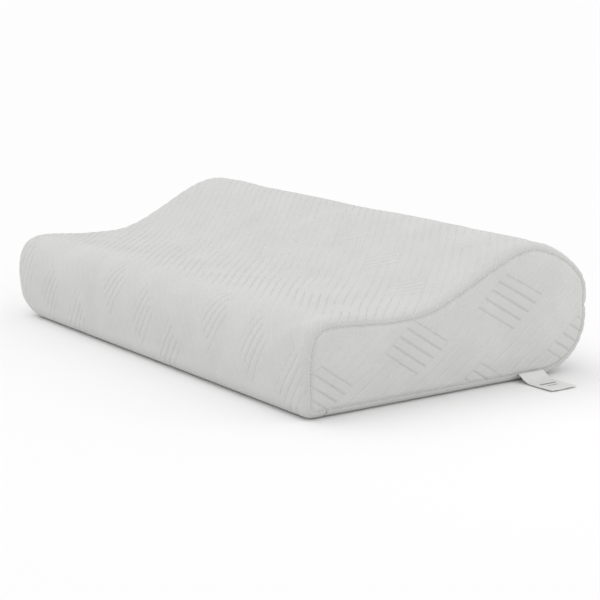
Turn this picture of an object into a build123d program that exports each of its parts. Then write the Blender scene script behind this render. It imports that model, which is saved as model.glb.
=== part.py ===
from build123d import *
import os

# Contour pillow: a moulded foam block in a thin liner, inside a zipped knit cover.
# Frame: +X along the pillow (towards the end with the side label), -Y the low front
# lobe, +Y the high back lobe, +Z up. Origin on the resting plane, under the middle.
# Every layer is the outer section set in by a constant distance.

os.makedirs("parts", exist_ok=True)

# ---------------------------------------------------------------- driving dimensions
LENGTH = 500.0            # end panel to end panel
DEPTH = 300.0             # front face to back face
HEIGHT = 120.0            # top of the high lobe
HALF = LENGTH / 2
BACK = DEPTH / 2          # Y of the upright strip of the back that carries the zip

COVER_T = 2.2             # knit cover
COVER_END_R = 7.0         # rounding between the wrap and an end panel, seam at its end
SEAM_W = 0.8              # width of the groove that a seam's thread lies in
LINER_IN = 4.2            # liner outer face, inside the cover's outer face
LINER_T = 0.6
LINER_END_R = 2.0
FOAM_IN = 5.0             # foam surface, inside the cover's outer face
FOAM_R = 6.0              # rounding of the foam's end edges

FRONT_SEAM_Y = -128.0     # seam of top and bottom cover panels, under the front edge

ZIP_Z = 57.0              # zip line on the back
ZIP_SLOT_H = 11.0         # opening between the cover panels along the zip
ZIP_SLOT_HALF = 220.0
TAPE_T = 0.6
TAPE_HALF = 219.5
TAPE_EDGE = 1.0           # tape edge from the zip line
TAPE_REACH = 11.0         # other tape edge from the zip line
COIL_IN, COIL_OUT = 0.9, 3.9     # coil, measured from the zip line
COIL_T = 2.1
COIL_HALF = 210.0
STOP_L = 3.5
STITCH_OFF = 8.0          # zip stitch line from the zip line
STITCH_W, STITCH_T = 0.7, 0.4
STITCH_HALF = 222.0

SLIDER_X = 203.5          # slider at rest, zip closed
SLIDER_L = 12.0
SLIDER_W = 10.0
PIN_Y = BACK + 3.1        # hinge of the pull in the slider's bridge
PIN_D, PIN_HOLE_D = 1.5, 2.1
PULL_L, PULL_W, PULL_T = 24.0, 7.0, 1.3

LABEL_Y0, LABEL_Y1 = 69.5, 97.5  # side label, 28 mm wide
LABEL_T = 0.6
SEAM_IN = COVER_END_R     # end seam, inside the wrap's outer face

# ---------------------------------------------------------------- outer section (Y, Z)
FRONT_R = 13.0                           # front bottom corner
FLAT_FRONT, FLAT_BACK = -BACK + FRONT_R, 98.0    # the part of the base that lies flat
UPRIGHT_LOW, UPRIGHT_HIGH = 46.0, 69.0   # the upright strip of the back
FRONT_UPRIGHT = 31.0                     # the front face is upright below this
LOWER_BACK_PTS = [
    (FLAT_BACK, 0.0), (112.5, 2.4), (127.5, 8.9), (139.4, 19.0), (147.0, 32.0),
    (BACK, UPRIGHT_LOW),
]
TOP_PTS = [
    (BACK, UPRIGHT_HIGH), (147.6, 79.5), (142.0, 89.0), (133.5, 97.8), (122.5, 106.2),
    (109.5, 113.3), (96.5, 118.0), (83.0, HEIGHT), (70.0, 118.8), (55.0, 114.0),
    (38.0, 106.4), (20.0, 97.2), (3.0, 88.8), (-13.0, 81.6), (-30.0, 76.4),
    (-50.0, 74.4), (-75.0, 74.7), (-100.0, 76.4), (-120.0, 77.6), (-133.0, 76.3),
    (-142.0, 70.6), (-147.3, 60.5), (-149.6, 46.5), (-BACK, FRONT_UPRIGHT),
]
with BuildLine() as outer_curves:
    lower_back = Spline(*LOWER_BACK_PTS, tangents=[(1, 0), (0, 1)], tangent_scalars=[1, 1])
    over_top = Spline(*TOP_PTS, tangents=[(0, 1), (0, -1)], tangent_scalars=[1, 1])


def set_in(curve, inset, steps, first, last):
    """Points of a curve moved to its left, which is into the pillow."""
    points = [first]
    for i in range(1, steps):
        p, t = curve @ (i / steps), curve % (i / steps)
        points.append((p.X - t.Y * inset, p.Y + t.X * inset))
    return points + [last]


def section(inset):
    """The pillow's section, set in from the outer one, drawn on the XY plane."""
    with BuildSketch(Plane.XY) as drawn:
        with BuildLine():
            base_end = (FLAT_BACK, inset)
            back_low, back_high = (BACK - inset, UPRIGHT_LOW), (BACK - inset, UPRIGHT_HIGH)
            front_high = (-BACK + inset, FRONT_UPRIGHT)
            Line((FLAT_FRONT, inset), base_end)
            Spline(
                *set_in(lower_back, inset, 12, base_end, back_low),
                tangents=[(1, 0), (0, 1)], tangent_scalars=[1, 1],
            )
            Line(back_low, back_high)
            Spline(
                *set_in(over_top, inset, 56, back_high, front_high),
                tangents=[(0, 1), (0, -1)], tangent_scalars=[1, 1],
            )
            Line(front_high, (-BACK + inset, FRONT_R))
            CenterArc((FLAT_FRONT, FRONT_R), FRONT_R - inset, 180, 90)
        make_face()
    return drawn.sketch


SEAM_HALF = SEAM_W / 2
outer_section = section(0.0)
cover_inner_section = section(COVER_T)
liner_section = section(LINER_IN)
liner_inner_section = section(LINER_IN + LINER_T)
foam_section = section(FOAM_IN)
seam_section = section(SEAM_IN)
seam_outer_section = section(SEAM_IN - SEAM_HALF)    # wrap's side of the seam groove
seam_inner_section = section(SEAM_IN + SEAM_HALF)    # end panel's side of it


def rounded_block(drawn, half, edge_radius):
    """A closed block of a section, half as long each way, with both ends rounded."""
    with BuildPart() as block:
        with BuildSketch(Plane.YZ.offset(-half)):
            add(drawn)
        extrude(amount=2 * half)
        fillet(block.edges().group_by(Axis.X)[-1], edge_radius)
        fillet(block.edges().group_by(Axis.X)[0], edge_radius)
    return block.part


def slab(drawn, x0, thickness):
    """A plate of a section, from x0 towards +X."""
    with BuildPart() as plate:
        with BuildSketch(Plane.YZ.offset(x0)):
            add(drawn)
        extrude(amount=thickness)
    return plate.part


outer_block = rounded_block(outer_section, HALF, COVER_END_R)
cover_inside = rounded_block(cover_inner_section, HALF - COVER_T, COVER_END_R - COVER_T)
liner_block = rounded_block(liner_section, HALF - LINER_IN, LINER_END_R)
liner_inside = rounded_block(
    liner_inner_section, HALF - LINER_IN - LINER_T, LINER_END_R - LINER_T
)


def keep(builder, name):
    builder.part.label = name
    export_step(builder.part, f"parts/{name}.step")


# ---------------------------------------------------------------- foam
with BuildPart() as foam_core:
    with BuildSketch(Plane.YZ.offset(-(HALF - FOAM_IN))):
        add(foam_section)
    extrude(amount=2 * (HALF - FOAM_IN))
    fillet(foam_core.edges().group_by(Axis.X)[-1], FOAM_R)
    fillet(foam_core.edges().group_by(Axis.X)[0], FOAM_R)
keep(foam_core, "foam_core")

# ---------------------------------------------------------------- liner
with BuildPart() as liner_wrap:
    add(liner_block)
    add(liner_inside, mode=Mode.SUBTRACT)
    add(slab(seam_section, -HALF, LINER_IN + 3.0), mode=Mode.SUBTRACT)
    add(slab(seam_section, HALF - LINER_IN - 3.0, LINER_IN + 3.0), mode=Mode.SUBTRACT)
keep(liner_wrap, "liner_wrap")

with BuildPart() as liner_end_right:
    with BuildSketch(Plane.YZ.offset(HALF - LINER_IN - LINER_T)):
        add(seam_section)
    extrude(amount=LINER_T)
keep(liner_end_right, "liner_end_right")

with BuildPart() as liner_end_left:
    with BuildSketch(Plane.YZ.offset(-(HALF - LINER_IN))):
        add(seam_section)
    extrude(amount=LINER_T)
keep(liner_end_left, "liner_end_left")

# ---------------------------------------------------------------- cover panels
# The top panel runs from the front seam under the front edge, up the front, over
# both lobes and down the back to the zip; the bottom panel runs from that seam along
# the base and up the back to the zip. An end panel closes each end.
with BuildPart() as end_openings:
    add(slab(seam_outer_section, -(HALF + 1), COVER_T + 2))
    add(slab(seam_outer_section, HALF - COVER_T - 1, COVER_T + 2))

with BuildPart() as cover_top:
    add(outer_block)
    add(cover_inside, mode=Mode.SUBTRACT)
    add(end_openings.part, mode=Mode.SUBTRACT)
    with BuildSketch(Plane.XZ.offset(-(BACK + 5))):
        with Locations((0, ZIP_Z / 2 - 2.5)):
            Rectangle(LENGTH + 10, ZIP_Z + 5)
    extrude(amount=BACK + 5 - FRONT_SEAM_Y + SEAM_HALF, mode=Mode.SUBTRACT)
    # zip slot
    with BuildSketch(Plane.XZ.offset(-(BACK + 2))):
        with Locations((0, ZIP_Z)):
            Rectangle(2 * ZIP_SLOT_HALF, ZIP_SLOT_H)
    extrude(amount=12, mode=Mode.SUBTRACT)
    # groove of the zip's stitch line
    with BuildSketch(Plane.XZ.offset(-(BACK + 1))):
        with Locations((0, ZIP_Z + STITCH_OFF)):
            Rectangle(2 * STITCH_HALF, STITCH_W)
    extrude(amount=1 + STITCH_T, mode=Mode.SUBTRACT)
keep(cover_top, "cover_top")

with BuildPart() as cover_bottom:
    add(outer_block)
    add(cover_inside, mode=Mode.SUBTRACT)
    add(end_openings.part, mode=Mode.SUBTRACT)
    with BuildSketch(Plane.XZ.offset(-(BACK + 5))):
        with Locations((0, ZIP_Z / 2 - 2.5)):
            Rectangle(LENGTH + 10, ZIP_Z + 5)
    extrude(amount=BACK + 5 - FRONT_SEAM_Y - SEAM_HALF, mode=Mode.INTERSECT)
    with BuildSketch(Plane.XZ.offset(-(BACK + 2))):
        with Locations((0, ZIP_Z)):
            Rectangle(2 * ZIP_SLOT_HALF, ZIP_SLOT_H)
    extrude(amount=12, mode=Mode.SUBTRACT)
    with BuildSketch(Plane.XZ.offset(-(BACK + 1))):
        with Locations((0, ZIP_Z - STITCH_OFF)):
            Rectangle(2 * STITCH_HALF, STITCH_W)
    extrude(amount=1 + STITCH_T, mode=Mode.SUBTRACT)
keep(cover_bottom, "cover_bottom")

with BuildPart() as cover_end_right:
    with BuildSketch(Plane.YZ.offset(HALF - COVER_T)):
        add(seam_inner_section)
    extrude(amount=COVER_T)
keep(cover_end_right, "cover_end_right")

with BuildPart() as cover_end_left:
    with BuildSketch(Plane.YZ.offset(-HALF)):
        add(seam_inner_section)
    extrude(amount=COVER_T)
keep(cover_end_left, "cover_end_left")

# ---------------------------------------------------------------- seam threads
THREAD_DEEP, THREAD_T = 0.6, 1.2

with BuildPart() as end_seam_thread_right:
    with BuildSketch(Plane.YZ.offset(HALF - THREAD_DEEP - THREAD_T)):
        add(seam_outer_section)
    extrude(amount=THREAD_T)
    with BuildSketch(Plane.YZ.offset(HALF - THREAD_DEEP - THREAD_T)):
        add(seam_inner_section)
    extrude(amount=THREAD_T, mode=Mode.SUBTRACT)
    # the side label's tail takes the thread's place in the seam
    with BuildSketch(Plane.XY):
        with Locations((HALF, (LABEL_Y0 + LABEL_Y1) / 2)):
            Rectangle(10, LABEL_Y1 - LABEL_Y0 + 0.6)
    extrude(amount=SEAM_IN + 3, mode=Mode.SUBTRACT)
keep(end_seam_thread_right, "end_seam_thread_right")

with BuildPart() as end_seam_thread_left:
    with BuildSketch(Plane.YZ.offset(-(HALF - THREAD_DEEP))):
        add(seam_outer_section)
    extrude(amount=THREAD_T)
    with BuildSketch(Plane.YZ.offset(-(HALF - THREAD_DEEP))):
        add(seam_inner_section)
    extrude(amount=THREAD_T, mode=Mode.SUBTRACT)
keep(end_seam_thread_left, "end_seam_thread_left")

with BuildPart() as front_seam_thread:
    with BuildSketch(Plane.XY.offset(THREAD_DEEP)):
        with Locations((0, FRONT_SEAM_Y)):
            Rectangle(2 * (HALF - COVER_END_R), SEAM_W)
    extrude(amount=THREAD_T)
keep(front_seam_thread, "front_seam_thread")

# ---------------------------------------------------------------- zip, fixed pieces
TAPE_OUT = BACK - COVER_T          # tape's outer face, against the cover's inside


def zip_strip(z0, z1, y_face, thickness, x0, x1, name):
    """A straight strip along the zip, from y_face inwards."""
    with BuildPart() as strip:
        with BuildSketch(Plane.XZ.offset(-y_face)):
            with Locations(((x0 + x1) / 2, (z0 + z1) / 2)):
                Rectangle(x1 - x0, z1 - z0)
        extrude(amount=thickness)
    keep(strip, name)
    return strip


zip_tape_upper = zip_strip(
    ZIP_Z + TAPE_EDGE, ZIP_Z + TAPE_REACH, TAPE_OUT, TAPE_T, -TAPE_HALF, TAPE_HALF,
    "zip_tape_upper",
)
zip_tape_lower = zip_strip(
    ZIP_Z - TAPE_REACH, ZIP_Z - TAPE_EDGE, TAPE_OUT, TAPE_T, -TAPE_HALF, TAPE_HALF,
    "zip_tape_lower",
)
zip_coil_upper = zip_strip(
    ZIP_Z + COIL_IN, ZIP_Z + COIL_OUT, TAPE_OUT + COIL_T, COIL_T, -COIL_HALF, COIL_HALF,
    "zip_coil_upper",
)
zip_coil_lower = zip_strip(
    ZIP_Z - COIL_OUT, ZIP_Z - COIL_IN, TAPE_OUT + COIL_T, COIL_T, -COIL_HALF, COIL_HALF,
    "zip_coil_lower",
)
zip_thread_upper = zip_strip(
    ZIP_Z + STITCH_OFF - STITCH_W / 2, ZIP_Z + STITCH_OFF + STITCH_W / 2, BACK, STITCH_T,
    -STITCH_HALF, STITCH_HALF, "zip_thread_upper",
)
zip_thread_lower = zip_strip(
    ZIP_Z - STITCH_OFF - STITCH_W / 2, ZIP_Z - STITCH_OFF + STITCH_W / 2, BACK, STITCH_T,
    -STITCH_HALF, STITCH_HALF, "zip_thread_lower",
)

# two clips at the closed end, one across both coils at the other
STOP_T = COIL_T + 0.2
with BuildPart() as zip_top_stops:
    with BuildSketch(Plane.XZ.offset(-(TAPE_OUT + STOP_T))):
        with Locations(
            (COIL_HALF + 0.3 + STOP_L / 2, ZIP_Z + 2.6),
            (COIL_HALF + 0.3 + STOP_L / 2, ZIP_Z - 2.6),
        ):
            Rectangle(STOP_L, 3.2)
    extrude(amount=STOP_T)
    fillet(zip_top_stops.edges().filter_by(Axis.X).group_by(Axis.Y)[-1], 0.7)
keep(zip_top_stops, "zip_top_stops")

with BuildPart() as zip_bottom_stop:
    with BuildSketch(Plane.XZ.offset(-(TAPE_OUT + STOP_T))):
        with Locations((-(COIL_HALF + 0.3 + STOP_L / 2), ZIP_Z)):
            Rectangle(STOP_L, 8.4)
    extrude(amount=STOP_T)
    fillet(zip_bottom_stop.edges().filter_by(Axis.X).group_by(Axis.Y)[-1], 0.7)
keep(zip_bottom_stop, "zip_bottom_stop")

# ---------------------------------------------------------------- zip slider
# Two wings joined by a neck between the coils, flanges beside the coils, and a
# bridge on the outer wing that the pull hangs in.
WING_OUT0, WING_OUT1 = BACK + 0.2, BACK + 1.4
WING_IN0, WING_IN1 = BACK - 3.9, BACK - 3.1
FLANGE_LOW = TAPE_OUT + 0.3
NECK_T = 1.2
BRIDGE_W, BRIDGE_L, BRIDGE_H = 2.4, 7.0, 3.7

with BuildPart() as zip_slider:
    # outer wing, wider at the end where the two coils part
    with BuildSketch(Plane.XZ.offset(-WING_OUT1)):
        with BuildLine():
            Polyline(
                (SLIDER_X - SLIDER_L / 2, ZIP_Z - 4.6),
                (SLIDER_X + SLIDER_L / 2, ZIP_Z - SLIDER_W / 2),
                (SLIDER_X + SLIDER_L / 2, ZIP_Z + SLIDER_W / 2),
                (SLIDER_X - SLIDER_L / 2, ZIP_Z + 4.6),
                close=True,
            )
        make_face()
    extrude(amount=WING_OUT1 - WING_OUT0)
    fillet(zip_slider.edges().filter_by(Axis.Y), 1.2)
    fillet(zip_slider.edges().group_by(Axis.Y)[-1], 0.45)
    # flanges beside the coils
    with BuildSketch(Plane.XZ.offset(-WING_OUT0 - 0.2)):
        with Locations((SLIDER_X, ZIP_Z + 4.5), (SLIDER_X, ZIP_Z - 4.5)):
            Rectangle(SLIDER_L - 3.0, 0.6)
    extrude(amount=WING_OUT0 + 0.2 - FLANGE_LOW)
    # inner wing
    with BuildSketch(Plane.XZ.offset(-WING_IN1)):
        with Locations((SLIDER_X, ZIP_Z)):
            RectangleRounded(SLIDER_L - 1.0, 9.2, 1.2)
    extrude(amount=WING_IN1 - WING_IN0)
    # neck
    with BuildSketch(Plane.XZ.offset(-(WING_OUT0 + 0.2))):
        with Locations((SLIDER_X + SLIDER_L / 2 - 2.6, ZIP_Z)):
            RectangleRounded(3.6, NECK_T, 0.5)
    extrude(amount=WING_OUT0 + 0.2 - WING_IN1 + 0.2)
    # bridge with the hole for the pull
    with BuildSketch(Plane.XY.offset(ZIP_Z - BRIDGE_W / 2)):
        with BuildLine():
            Polyline(
                (SLIDER_X - BRIDGE_L / 2, WING_OUT1 - 0.3),
                (SLIDER_X + BRIDGE_L / 2, WING_OUT1 - 0.3),
                (SLIDER_X + 1.9, WING_OUT1 + BRIDGE_H),
                (SLIDER_X - 1.9, WING_OUT1 + BRIDGE_H),
                close=True,
            )
        make_face()
    extrude(amount=BRIDGE_W)
    fillet(zip_slider.edges().filter_by(Axis.Z).group_by(Axis.Y)[-1], 1.2)
    with BuildSketch(Plane.XY.offset(ZIP_Z - BRIDGE_W)):
        with Locations((SLIDER_X, PIN_Y)):
            Circle(PIN_HOLE_D / 2)
    extrude(amount=2 * BRIDGE_W, mode=Mode.SUBTRACT)
keep(zip_slider, "zip_slider")

# ---------------------------------------------------------------- zip pull
WINDOW_W = BRIDGE_W + 0.7
with BuildPart() as zip_pull:
    with BuildSketch(Plane.XZ.offset(-(PIN_Y + PULL_T / 2))) as pull_plan:
        with BuildLine():
            Polyline(
                (SLIDER_X + 0.9, ZIP_Z - 2.9),
                (SLIDER_X - 5.0, ZIP_Z - 2.9),
                (SLIDER_X - 8.0, ZIP_Z - 2.1),
                (SLIDER_X - 12.0, ZIP_Z - PULL_W / 2),
                (SLIDER_X - PULL_L, ZIP_Z - PULL_W / 2),
                (SLIDER_X - PULL_L, ZIP_Z + PULL_W / 2),
                (SLIDER_X - 12.0, ZIP_Z + PULL_W / 2),
                (SLIDER_X - 8.0, ZIP_Z + 2.1),
                (SLIDER_X - 5.0, ZIP_Z + 2.9),
                (SLIDER_X + 0.9, ZIP_Z + 2.9),
                close=True,
            )
        make_face()
        fillet(pull_plan.vertices().group_by(Axis.X)[0], 2.6)
        # window around the bridge, closed at its end by the hinge bar
        with Locations((SLIDER_X - 2.2, ZIP_Z)):
            Rectangle(6.4, WINDOW_W, mode=Mode.SUBTRACT)
        # slot in the grip
        with Locations((SLIDER_X - 17.5, ZIP_Z)):
            SlotOverall(7.0, 2.6, mode=Mode.SUBTRACT)
    extrude(amount=PULL_T)
    fillet(
        zip_pull.edges().group_by(Axis.Y)[-1].filter_by_position(
            Axis.X, SLIDER_X - PULL_L - 1, SLIDER_X - 8.5
        ),
        0.35,
    )
    with BuildSketch(Plane.XY.offset(ZIP_Z - 2.9)):
        with Locations((SLIDER_X, PIN_Y)):
            Circle(PIN_D / 2)
    extrude(amount=5.8)
keep(zip_pull, "zip_pull")

# ---------------------------------------------------------------- labels
# The flap leaves the end seam, droops to the surface and lies along it.
HINGE_X, HINGE_Z = HALF + 0.8, SEAM_IN
with BuildPart() as side_label:
    with BuildSketch(Plane.XZ.offset(-LABEL_Y1)) as flap_edge:
        with BuildLine() as flap_line:
            Polyline(
                (HINGE_X, HINGE_Z - 0.1),
                (HALF + 6.5, 3.6),
                (HALF + 13.0, 1.0),
                (HALF + 41.5, 0.4 + LABEL_T / 2),
            )
            offset(amount=LABEL_T / 2, side=Side.BOTH)
        make_face()
    extrude(amount=LABEL_Y1 - LABEL_Y0)
keep(side_label, "side_label")

with BuildPart() as side_label_tail:
    with BuildSketch(Plane.XY.offset(SEAM_IN - LABEL_T / 2)):
        with Locations((HALF - 0.9, (LABEL_Y0 + LABEL_Y1) / 2)):
            Rectangle(2.4, LABEL_Y1 - LABEL_Y0)
    extrude(amount=LABEL_T)
keep(side_label_tail, "side_label_tail")

with BuildPart() as care_label:
    with BuildSketch(Plane.YZ.offset(-(HALF - COVER_T) + 0.3)):
        with Locations((28.0, 36.0)):
            RectangleRounded(34.0, 52.0, 1.0)
    extrude(amount=0.4)
keep(care_label, "care_label")
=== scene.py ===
import math

import bmesh
import bpy
import numpy as np
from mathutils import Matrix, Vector
from mathutils.geometry import delaunay_2d_cdt
from mathutils.kdtree import KDTree


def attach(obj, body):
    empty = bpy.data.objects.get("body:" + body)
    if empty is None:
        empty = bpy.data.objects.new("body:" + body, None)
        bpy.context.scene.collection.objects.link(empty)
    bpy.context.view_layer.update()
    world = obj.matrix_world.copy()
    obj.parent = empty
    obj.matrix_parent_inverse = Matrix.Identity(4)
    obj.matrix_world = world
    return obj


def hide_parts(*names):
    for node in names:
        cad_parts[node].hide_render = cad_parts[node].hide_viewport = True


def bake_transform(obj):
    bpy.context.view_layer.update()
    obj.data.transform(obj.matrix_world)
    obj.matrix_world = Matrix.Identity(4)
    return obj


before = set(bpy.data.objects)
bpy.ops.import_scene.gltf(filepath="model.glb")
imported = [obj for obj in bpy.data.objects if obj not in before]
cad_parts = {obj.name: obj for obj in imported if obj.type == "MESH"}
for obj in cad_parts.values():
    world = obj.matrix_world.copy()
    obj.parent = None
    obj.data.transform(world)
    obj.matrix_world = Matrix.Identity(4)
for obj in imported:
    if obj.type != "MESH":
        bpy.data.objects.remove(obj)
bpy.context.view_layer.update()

MM = 0.001

# ---------------------------------------------------------------- cross-section (mm)

HALF = 250.0
END_R = {1: 9.0, -1: 12.0}  # rounding of the wrap's ends; the left one is slacker
SEAM_IN = 6.4


def spline(points, t0, t1, step=0.25):
    """Clamped cubic through points on the chord-length parameter, sampled every step mm."""
    p = np.array(points, float)
    u = np.concatenate([[0], np.cumsum(np.hypot(*np.diff(p, axis=0).T))])
    n = len(p)
    h = np.diff(u)
    m = np.zeros((n, n))
    r = np.zeros((n, 2))
    m[0, 0] = m[-1, -1] = 1
    r[0], r[-1] = t0, t1
    for k in range(1, n - 1):
        m[k, k - 1], m[k, k], m[k, k + 1] = h[k], 2 * (h[k] + h[k - 1]), h[k - 1]
        r[k] = 3 * (h[k] * (p[k] - p[k - 1]) / h[k - 1] + h[k - 1] * (p[k + 1] - p[k]) / h[k])
    d = np.linalg.solve(m, r)
    out = []
    for k in range(n - 1):
        c = max(2, int(h[k] / step))
        t = np.linspace(0, 1, c, endpoint=False)[:, None]
        out.append(
            (2 * t**3 - 3 * t**2 + 1) * p[k]
            + (t**3 - 2 * t**2 + t) * h[k] * d[k]
            + (-2 * t**3 + 3 * t**2) * p[k + 1]
            + (t**3 - t**2) * h[k] * d[k + 1]
        )
    return np.concatenate(out + [p[-1:]])


def line(a, b, step=0.25):
    n = max(2, int(math.dist(a, b) / step))
    t = np.linspace(0, 1, n)[:, None]
    return np.array(a, float) * (1 - t) + np.array(b, float) * t


OVER_TOP = [(150, 69), (147.6, 79.5), (142, 89), (133.5, 97.8), (122.5, 106.2), (109.5, 113.3), (96.5, 118), (83, 120), (70, 118.8), (55, 114), (38, 106.4), (20, 97.2), (3, 88.8), (-13, 81.6), (-30, 76.4), (-50, 74.4), (-75, 74.7), (-100, 76.4), (-120, 77.6), (-133, 76.3), (-142, 70.6), (-147.3, 60.5), (-149.6, 46.5), (-150, 31)]
LOWER_BACK = [(98, 0), (112.5, 2.4), (127.5, 8.9), (139.4, 19.0), (147.0, 32.0), (150, 46)]

corner = np.linspace(math.pi / 2, 0, 80)
pieces_of_loop = [
    np.stack([-137 - 13 * np.cos(corner), 13 - 13 * np.sin(corner)], 1),
    line((-150, 13), (-150, 31)),
    spline(OVER_TOP, (0, 1), (0, -1))[::-1],
    line((150, 69), (150, 46)),
    spline(LOWER_BACK, (1, 0), (0, 1))[::-1],
    line((98, 0), (-137, 0)),
]
loop = np.concatenate([p[:-1] for p in pieces_of_loop] + [pieces_of_loop[-1][-1:]])
S_RAW = np.concatenate([[0], np.cumsum(np.hypot(*np.diff(loop, axis=0).T))])
TOTAL = S_RAW[-1]
SGRID = np.linspace(0, TOTAL, int(TOTAL / 0.5) + 1)
LY, LZ = np.interp(SGRID, S_RAW, loop[:, 0]), np.interp(SGRID, S_RAW, loop[:, 1])
dy, dz = np.gradient(LY[:-1]), np.gradient(LZ[:-1])
k = np.array([1, 2, 3, 4, 3, 2, 1.0])
k /= k.sum()


def around(a):
    return np.convolve(np.concatenate([a[-3:], a, a[:3]]), k, "valid")


ny, nz = around(-dz), around(dy)
ln = np.hypot(ny, nz)
ny, nz = np.append(ny / ln, (ny / ln)[0]), np.append(nz / ln, (nz / ln)[0])


def at(s):
    """Point and outward direction on the section at arc length s from the bottom of the front."""
    s = np.mod(s, TOTAL)
    y, z = np.interp(s, SGRID, LY), np.interp(s, SGRID, LZ)
    a, b = np.interp(s, SGRID, ny), np.interp(s, SGRID, nz)
    q = np.hypot(a, b)
    return y, z, a / q, b / q


def s_where(test_y, test_z):
    return SGRID[np.argmin((LY - test_y) ** 2 + (LZ - test_z) ** 2)]


S_ZIP = s_where(150, 57.0)
S_ZIP_HI = s_where(150, 62.5)
S_ZIP_LO = s_where(150, 51.5)
S_SEAM = TOTAL - 9.0  # the front seam is on the underside, at y = -128

# ---------------------------------------------------------------- the woven-in pattern

SS = np.linspace(-60, 1100, 2321)
LEAN_S = [-60, 0, 60, 90, 110, 140, 165, 200, 230, 260, 300, 340, 400, 700, 1100]
LEAN = [0.6, 0.55, 0.62, 0.95, 1.25, 1.25, 1.02, 0.86, 0.74, 0.8, 1.05, 1.3, 1.2, 0.9, 0.9]
ACROSS = 0.0235
lean = np.interp(SS, LEAN_S, LEAN)
GJ = np.concatenate([[0], np.cumsum((lean[1:] + lean[:-1]) / 2 * np.diff(SS))]) * ACROSS
CELL = 38.0


def long_ribs(x, s):
    """Four counts to a cell across the long ribs."""
    return 4 * (ACROSS * x + np.interp(s, SS, GJ))


# short-rib blocks of the wrap: centre (x, s), lean of their ribs dx/ds, rib spacing along x, half length in s
FRONT = [(-226, 61, 0.30), (-172, 41, 0.66), (-124, 21, 0.70), (-55, 66, 0.62), (0, 46, 0.66), (47, 26, 0.72), (114, 66, 0.62), (177, 54, 0.55), (232, 32, 0.60)]
BLOCKS = [(x, s, k_, 8.4, 17.5) for x, s, k_ in FRONT]
for m_ in range(-9, 10):
    for n_ in range(-5, 6):
        x_, s_ = 205 - 70 * m_ + 200 * n_, 213.4 + 27 * m_ - 3 * n_
        if 122 < s_ < 440 and abs(x_) < 262:
            BLOCKS.append((x_, s_, 1.15, 10.0, 14.5))
for m_ in range(-12, 13):
    for n_ in range(-6, 7):
        x_, s_ = 40 - 62 * m_ + 185 * n_, 640 + 25 * m_ - 3 * n_
        if 455 < s_ < TOTAL - 14 and abs(x_) < 262:
            BLOCKS.append((x_, s_, 0.85, 9.4, 15.5))


def wrap_pat(x, s):
    """Fields of the wrap's pattern: long-rib count, short-rib count, and distance in mm inside (+) or outside (-) the nearest block."""
    ta = long_ribs(x, s)
    best = np.full(x.shape, -1e3)
    tb = np.zeros(x.shape)
    for xc, sc, lean_b, step, half in BLOCKS:
        near = (np.abs(x - xc) < 75) & (np.abs(s - sc) < 60)
        if not near.any():
            continue
        xx, ss = x[near], s[near]
        c = (xx - xc - lean_b * (ss - sc)) / step
        # ends lie on long ribs; the centre is moved so that both ends fall on grooves
        tc = np.round(long_ribs(np.array(float(xc)), np.array(float(sc))))
        jn = ta[near] - tc
        across_b = abs(lean_b * ACROSS * 4 + np.interp(sc, SS, np.gradient(GJ, SS)) * 4)
        mm_b = math.hypot(1, lean_b) / across_b
        mm_a = step / math.hypot(1, lean_b)
        m = np.minimum((2 - np.abs(c)) * mm_a, (2 - np.abs(jn)) * mm_b)
        win = m > best[near]
        bi, ti = best[near], tb[near]
        bi[win], ti[win] = m[win], c[win]
        best[near], tb[near] = bi, ti
    return ta, tb, np.maximum(best, -60)


QI = [0.0906, 1.4573, 2.26, -0.0763, -0.0519, 0.0342]
QJ = [2.1207, 1.4377, -2.2782, -0.0763, 0.1899, 0.2671]


def end_ij(y, z):
    y, z = y / 100, z / 100
    b = np.stack([np.ones_like(y), y, z, y * y, y * z, z * z])
    return np.tensordot(QI, b, 1), np.tensordot(QJ, b, 1)


def smooth(t):
    t = np.clip(t, 0, 1)
    return t * t * (3 - 2 * t)


def end_pat(y, z):
    i, j = end_ij(y, z)
    best = np.full(y.shape, -1e3)
    ci, cj = np.floor(i), np.floor(j)
    for u in (-2, -1, 0, 1, 2):
        for v in (-1, 0, 1):
            a, b = ci + u, cj + v
            is_block = np.mod(a - 2 * b, 4) == 0
            m = np.minimum(0.5 - np.abs(i - a - 0.5), 0.5 - np.abs(j - b - 0.5)) * CELL
            best = np.where(is_block & (m > best), m, best)
    best = np.where((y < -85) & (z > 62), -60.0, best)
    return 4 * j, 4 * i, best


def wrap_amp(x, s):
    """How strongly the long and the short ribs show: the front is pulled smooth, so its long ribs hardly do."""
    a = np.interp(s, [-60, 62, 88, 125, 430, 460, 1100], [0.2, 0.2, 0.6, 1.45, 1.05, 0.8, 0.8])
    b = np.interp(s, [-60, 95, 120, 170, 255, 300, 460, 1100], [1.15, 1.15, 0.35, 0.5, 0.5, 0.4, 0.8, 0.8])
    b = b + 0.45 * smooth((x - 70) / 60) * smooth((s - 165) / 25) * smooth((270 - s) / 25)
    return a, b


def ribs(pat, amp, groove=1.55, long_groove=2.3, long_share=0.6):
    """0 in the groove between two ribs, 1 on the crown. The long ribs stand less proud than the short ones."""
    ta, tb, m = pat

    def crown(t, g):
        f = np.mod(t, 1.0)
        e = np.minimum(f, 1 - f)
        return smooth(e * CELL / 4 / g) * 0.66 + 0.34 * (1 - np.abs(2 * f - 1) ** 2.2)

    a = 1 - long_share * amp[0] * (1 - crown(ta, long_groove))
    b = 1 - amp[1] * (1 - crown(tb, groove))
    w = smooth((m + 0.7) / 1.4)
    return a * (1 - w) + b * w


# ---------------------------------------------------------------- soft deformation


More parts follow.
